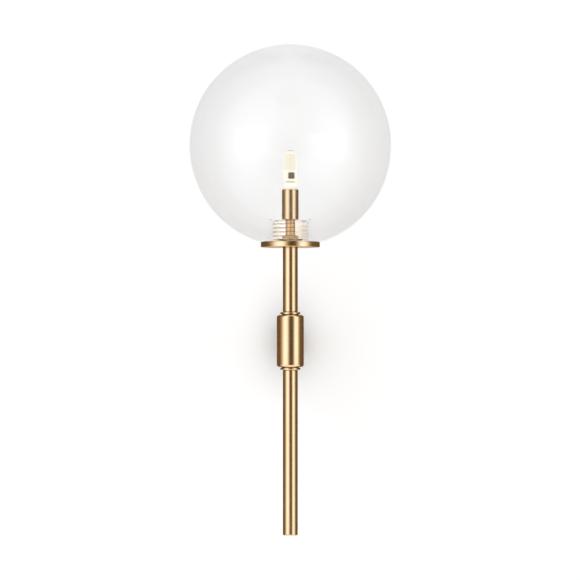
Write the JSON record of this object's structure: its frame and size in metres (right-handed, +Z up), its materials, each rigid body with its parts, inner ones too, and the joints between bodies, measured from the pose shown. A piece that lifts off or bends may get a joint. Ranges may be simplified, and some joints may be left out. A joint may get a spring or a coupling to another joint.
{
  "type": "globe wall sconce",
  "caption": "Wall light with a clear screw-necked glass globe on a vertical brass rod, held by a round arm behind a cylindrical hub.",
  "frame": {"origin": "on the wall plane, at the axis of the horizontal arm", "axes": "+Y into the wall, so the front of the light faces -Y; +Z up along the rod; +X to the viewer's right"},
  "size_m": [0.2, 0.2149, 0.4859],
  "materials": {
    "arm_brass": "satin brushed",
    "hub_brass": "satin brushed",
    "ring_brass": "satin",
    "rod_brass": "satin brushed",
    "plate_brass": "satin brushed",
    "cup_brass": "satin brushed",
    "stem_brass": "plain turned",
    "zinc_steel": "zinc plated",
    "clear_collar": "clear moulded",
    "globe_glass": "clear blown",
    "seal_rubber": "translucent silicone",
    "ceramic": "unglazed steatite, entered as matte_plastic",
    "block_plastic": "moulded",
    "bulb_clear": "clear moulded",
    "bulb_plastic": "moulded",
    "board": "white solder mask",
    "phosphor": "cured phosphor gel",
    "chip_black": "moulded",
    "component": "small ceramic parts",
    "pin_metal": "nickel plated",
    "brown_wire": "silicone insulation",
    "blue_wire": "silicone insulation",
    "green_wire": "silicone insulation"
  },
  "bodies": {
    "fixture": {"wall_boss": "zinc_steel", "grub_screws": "zinc_steel", "arm_tube": "arm_brass", "arm_plug": "stem_brass", "arm_stem": "stem_brass", "earth_lug": "stem_brass", "terminal_block": "block_plastic", "terminal_sleeves": "stem_brass", "terminal_screws": "zinc_steel", "hub_body": "hub_brass", "hub_base": "hub_brass", "upper_ring": "ring_brass", "lower_ring": "ring_brass", "upper_rod": "rod_brass", "lower_rod": "rod_brass", "rod_inserts": "stem_brass", "rod_end_cap": "rod_brass", "hub_stems": "stem_brass", "gallery_stem": "stem_brass", "lock_nuts": "stem_brass", "gallery_plate": "plate_brass", "screw_collar": "clear_collar", "collar_washer": "stem_brass", "socket_cup": "cup_brass", "lampholder_body": "ceramic", "lampholder_contacts": "zinc_steel", "lampholder_bracket": "zinc_steel", "bracket_screws": "zinc_steel", "live_wire": "brown_wire", "neutral_wire": "blue_wire", "earth_wire": "green_wire"},
    "seal": {"globe_seal": "seal_rubber"},
    "globe": {"globe_glass": "globe_glass"},
    "bulb": {"bulb_base": "bulb_plastic", "bulb_envelope": "bulb_clear", "bulb_board": "board", "light_panels": "phosphor", "driver_chip": "chip_black", "small_components": "component", "bulb_pins": "pin_metal"}
  },
  "joints": [
    {"name": "globe_rise", "type": "slide", "parent": "fixture", "child": "seal", "axis": [0, 0, 1], "range_m": [0, 0.014]},
    {"name": "globe_turn", "type": "hinge", "parent": "seal", "child": "globe", "pos_m": [0, -0.115, 0.1934], "axis": [0, 0, 1], "range_deg": [0, 1260]},
    {"name": "bulb_pull", "type": "slide", "parent": "fixture", "child": "bulb", "axis": [0, 0, 1], "range_m": [0, 0.015]}
  ],
  "couplings": [
    {"joint": "globe_rise", "follows": "globe_turn", "m_per_rad": 0.00063662}
  ]
}
